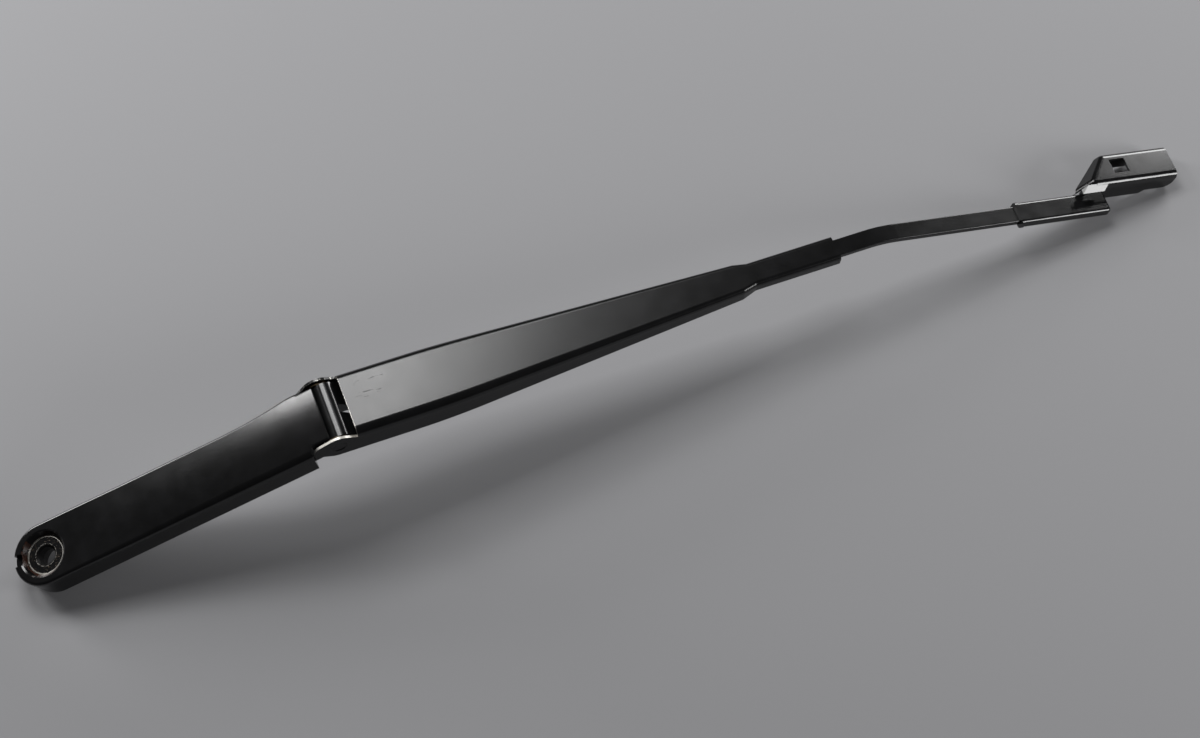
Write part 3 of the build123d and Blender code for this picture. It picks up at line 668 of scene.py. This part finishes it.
@dataclass
class SpringGear:
    """Tension spring under the channel, the link that leads it to the head, and the head's pin.

    Sizes are in millimetres. The reaches run from the link's end and from the rod's hole to the middle of
    each bow, and the bend share is the radius of the wire's two bends against the coil's way round.
    """

    link_length: float = 34.0
    link_reach: float = 3.544
    tail_reach: float = 3.25
    wire: float = 2.0
    coil_radius: float = 3.4
    coil_length: float = 60.15
    turns: int = 28
    tail_turn: float = 0.25
    bend_share: float = 0.1125
    lead_turns: int = 3
    slip_radius: float = 0.95
    round_turn: int = 40
    wire_sides: int = 12
    bow_stations: int = 20
    leg_stations: int = 3
    bend_stations: int = 8
    sharp_angle: float = 50.0

    def wire_path(self, lay: Lay) -> tuple[np.ndarray, np.ndarray]:
        """Lay out the middle of the spring's wire.

        The hooks are half circles of the coil's radius, the first level and the last upright. Between them
        the wire lies on the coil's cylinder: unrolled, it runs straight along the pull, turns by a quarter
        circle into the winding, climbs evenly over all turns, and turns back by a quarter circle.

        Args:
            lay: Places and axes of the frame.

        Returns:
            Stations of the path in metres, and the unit vector out of the coil or bow at each.
        """
        span = np.linalg.norm(lay.hook - lay.anchor) / MM - self.link_length
        first, last = self.link_reach, span - self.tail_reach
        start = (first + last - self.coil_length + self.wire) / 2
        end = first + last - start
        around, turns = 2 * np.pi * self.coil_radius, self.turns + self.tail_turn
        bend, sweep = around * self.bend_share, around * turns
        leg = np.linspace(0, 1, self.leg_stations)
        arc = np.linspace(0, np.pi / 2, self.bend_stations + 1)[1:]
        winding = np.linspace(0, 1, round((turns - 2 * self.bend_share) * self.round_turn) + 1)[1:]
        x = np.concatenate((first + (start - bend - first) * leg, start - bend * (1 - np.sin(arc)),
                            start + (end - start) * winding, end + bend * (1 - np.cos(arc)),
                            end + bend + (last - end - bend) * leg[1:]))
        w = np.concatenate((0 * leg, bend * (1 - np.cos(arc)), bend + (sweep - 2 * bend) * winding,
                            sweep - bend * (1 - np.sin(arc)), sweep + 0 * leg[1:]))
        angle = w / self.coil_radius
        out = np.stack((np.zeros_like(x), np.cos(angle), np.sin(angle)), axis=1)
        body = np.stack((x, np.zeros_like(x), np.zeros_like(x)), axis=1) + self.coil_radius * out
        bow = np.linspace(-np.pi / 2, np.pi / 2, self.bow_stations + 1)
        none = np.zeros_like(bow)
        bow_out = np.stack((-np.cos(bow), np.sin(bow), none), axis=1)[:-1]
        tail_out = np.stack((np.cos(bow), none, -np.sin(bow)), axis=1)[1:]
        path = np.vstack((np.array((first, 0, 0)) + self.coil_radius * bow_out, body,
                          np.array((last, 0, 0)) + self.coil_radius * tail_out))
        axes = np.stack((lay.pull, ACROSS, np.cross(lay.pull, ACROSS)))
        origin = lay.anchor + lay.pull * self.link_length * MM
        return origin + path @ axes * MM, np.vstack((bow_out, out, tail_out)) @ axes

    def wind(self, name: str, body: str, path: np.ndarray, out: np.ndarray, radius: np.ndarray,
             finish: bpy.types.Material) -> bpy.types.Object:
        """Make one piece of the wire and let it ride on its body.

        Args:
            name: Name of the piece.
            body: Body of the frame that carries it.
            path: Stations of the wire's middle.
            out: Unit vector out of the coil at each station.
            radius: Radius of the wire at each station, in metres.
            finish: Material of the wire.

        Returns:
            The piece.
        """
        vertices, faces, corners = tube(path, out, radius, self.wire_sides)
        mesh = bpy.data.meshes.new(name)
        mesh.from_pydata(vertices, [], faces)
        mesh.uv_layers.new(name="wire").data.foreach_set("uv", corners.ravel())
        mesh.polygons.foreach_set("use_smooth", np.ones(len(faces), dtype=bool))
        mesh.set_sharp_from_angle(angle=math.radians(self.sharp_angle))
        mesh.materials.append(finish)
        piece = bpy.data.objects.new(name, mesh)
        bpy.context.scene.collection.objects.link(piece)
        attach(piece, body)
        log.info("%s: %d stations of wire", name, len(path))
        return piece

    def build(self, lay: Lay) -> None:
        """Wind the spring from its wire, in place of the CAD node's plain ridges.

        The real spring grows by one pitch as the arm lifts. So its hook and first turns ride on the link,
        with one more turn that lies inside the wire of the coil at rest and fills the room that opens.

        Args:
            lay: Places and axes of the frame.
        """
        path, out = self.wire_path(lay)
        finish = SpringWire().build()
        wound_from = self.bow_stations + self.leg_stations - 1 + self.bend_stations
        split = wound_from + self.lead_turns * self.round_turn
        slip = split + self.round_turn
        radius = np.full(len(path), self.wire / 2 * MM)
        lead_radius = np.where(np.arange(slip + 1) > split, self.slip_radius * MM, self.wire / 2 * MM)
        self.wind("spring_lead_turns", "link", path[:slip + 1], out[:slip + 1], lead_radius, finish)
        coils = self.wind("spring_coils", "spring", path[split:], out[split:], radius[split:], finish)
        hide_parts("tension_spring")

    def dress(self) -> None:
        """Leave the pin and the link in bare metal."""
        dress("anchor_pin", TurnedSteel())
        dress("spring_link", ZincPlate())


@dataclass(frozen=True)
class Lamp:
    """Soft rectangular lamp, in metres and watts."""

    name: str
    place: tuple[float, float, float]
    aim: tuple[float, float, float]
    size: tuple[float, float]
    power: float

    def hang(self) -> bpy.types.Object:
        """Hang the lamp and turn it to its aim.

        Returns:
            The lamp object.
        """
        data = bpy.data.lights.new(self.name, "AREA")
        data.shape = "RECTANGLE"
        data.size, data.size_y = self.size
        data.energy = self.power
        lamp = bpy.data.objects.new(self.name, data)
        lamp.location = self.place
        lamp.rotation_euler = (Vector(self.aim) - Vector(self.place)).to_track_quat("-Z", "Y").to_euler()
        bpy.context.scene.collection.objects.link(lamp)
        return lamp


@dataclass
class Studio:
    """Pale floor, soft lamps and the photograph's camera, in metres unless the name says otherwise."""

    camera_mm: tuple[float, float, float] = (132.263, -351.933, 759.883)
    right: tuple[float, float, float] = (0.92748, -0.37387, -0.0017)
    back: tuple[float, float, float] = (-0.16355, -0.4098, 0.89739)
    focal_px: float = 1743.57
    image_px: tuple[int, int] = (1200, 738)
    sensor_mm: float = 36.0
    seen_range: tuple[float, float] = (0.01, 100.0)
    floor_reach: float = 6.0
    floor_colour: str = "#8c8c8e"
    floor_roughness: float = 0.8
    backdrop_colour: str = "#a2a2a4"
    lit_reach: tuple[float, float] = (0.7, 1.2)
    room_colour: str = "#b8b8bc"
    room_strength: float = 0.1
    lamps: tuple[Lamp, ...] = (
        Lamp("key", (0.17, 0.7, 1.04), (0.17, 0.05, 0.0), (0.5, 0.5), 7.8),
        Lamp("key edge", (0.51, 0.7, 1.03), (0.25, 0.05, 0.0), (0.18, 0.5), 1.7),
        Lamp("key fringe", (0.7, 0.7, 1.01), (0.3, 0.05, 0.0), (0.2, 0.5), 0.25),
        Lamp("far left", (-0.415, 0.77, 0.855), (0.12, 0.01, 0.04), (0.22, 0.26), 3.6),
        Lamp("far low", (-0.54, 0.93, 0.4), (0.07, 0.0, 0.03), (0.36, 0.45), 7.0),
        Lamp("far right", (1.29, 0.6, 0.352), (0.56, 0.0, 0.0), (0.5, 0.38), 7.0),
        Lamp("near right", (1.245, -0.725, 0.44), (0.53, 0.0, 0.0), (0.4, 0.4), 7.5),
    )

    def camera(self) -> bpy.types.Object:
        """Place the camera at the photograph's point of view.

        Returns:
            The camera object.
        """
        data = bpy.data.cameras.new("camera")
        data.sensor_fit = "HORIZONTAL"
        data.sensor_width = self.sensor_mm
        data.lens = self.focal_px * self.sensor_mm / self.image_px[0]
        data.clip_start, data.clip_end = self.seen_range
        camera = bpy.data.objects.new("camera", data)
        right, back = Vector(self.right).normalized(), Vector(self.back).normalized()
        axes = Matrix((right, back.cross(right), back)).transposed()
        camera.matrix_world = Matrix.Translation(Vector(self.camera_mm) * MM) @ axes.to_4x4()
        bpy.context.scene.collection.objects.link(camera)
        bpy.context.scene.camera = camera
        return camera

    def floor(self) -> bpy.types.Object:
        """Lay a plain floor under the part's lowest point.

        Returns:
            The floor object.
        """
        low, reach = CAD_BOX[0][2], self.floor_reach
        corners = [(-reach, -reach, low), (reach, -reach, low), (reach, reach, low), (-reach, reach, low)]
        mesh = bpy.data.meshes.new("floor")
        mesh.from_pydata(corners, [], [(0, 1, 2, 3)])
        floor = bpy.data.objects.new("floor", mesh)
        bpy.context.scene.collection.objects.link(floor)
        floor.data.materials.append(self.card())
        return floor

    def card(self) -> bpy.types.Material:
        """Make the floor's matt grey card, which goes over into the even backdrop outside the lamps' reach.

        Returns:
            The material.
        """
        material = bpy.data.materials.new("matt grey card")
        material.use_nodes = True
        tree = material.node_tree
        middle = tuple((low + high) / 2 for low, high in zip(*CAD_BOX))
        place = add(tree, "ShaderNodeTexCoord")
        away = gauge(tree, "DISTANCE", place.outputs["Object"], middle)
        fade = ramp(tree, away, *self.lit_reach, interpolation_type="SMOOTHSTEP")
        colour = mix(tree, Mix.COLOUR, fade, linear(self.floor_colour), linear(BLACK))
        seen = add(tree, "ShaderNodeLightPath")
        glow = number(tree, "MULTIPLY", fade, seen.outputs["Is Camera Ray"])
        shader = tree.nodes["Principled BSDF"]
        shader.inputs["Roughness"].default_value = self.floor_roughness
        shader.inputs["Emission Color"].default_value = linear(self.backdrop_colour)
        tree.links.new(colour, shader.inputs["Base Color"])
        tree.links.new(glow, shader.inputs["Emission Strength"])
        return material

    def light(self) -> None:
        """Hang the lamps and light the room weakly and evenly, with a pale backdrop for the camera alone."""
        for lamp in self.lamps:
            lamp.hang()
        world = bpy.data.worlds.new("room")
        world.use_nodes = True
        tree = world.node_tree
        room = tree.nodes["Background"]
        room.inputs["Color"].default_value = linear(self.room_colour)
        room.inputs["Strength"].default_value = self.room_strength
        backdrop = add(tree, "ShaderNodeBackground", {"Color": linear(self.backdrop_colour)})
        seen = add(tree, "ShaderNodeLightPath")
        both = add(tree, "ShaderNodeMixShader", {0: seen.outputs["Is Camera Ray"], 1: room.outputs[0],
                                                 2: backdrop.outputs[0]})
        tree.links.new(both.outputs[0], tree.nodes["World Output"].inputs["Surface"])
        bpy.context.scene.world = world


def main() -> None:
    """Build the pieces in order and report each."""
    logging.basicConfig(level=logging.INFO, format="%(name)s: %(message)s")
    bpy.context.scene.view_settings.view_transform = "Standard"
    lay = Lay.read(frame)
    MountingHead().dress(lay)
    Hinge().dress()
    ArmChannel().dress(lay)
    ArmRod().dress()
    BladeConnector().dress()
    gear = SpringGear()
    gear.build(lay)
    gear.dress()
    studio = Studio()
    studio.camera()
    studio.floor()
    studio.light()


if __name__ == "__main__":
    main()
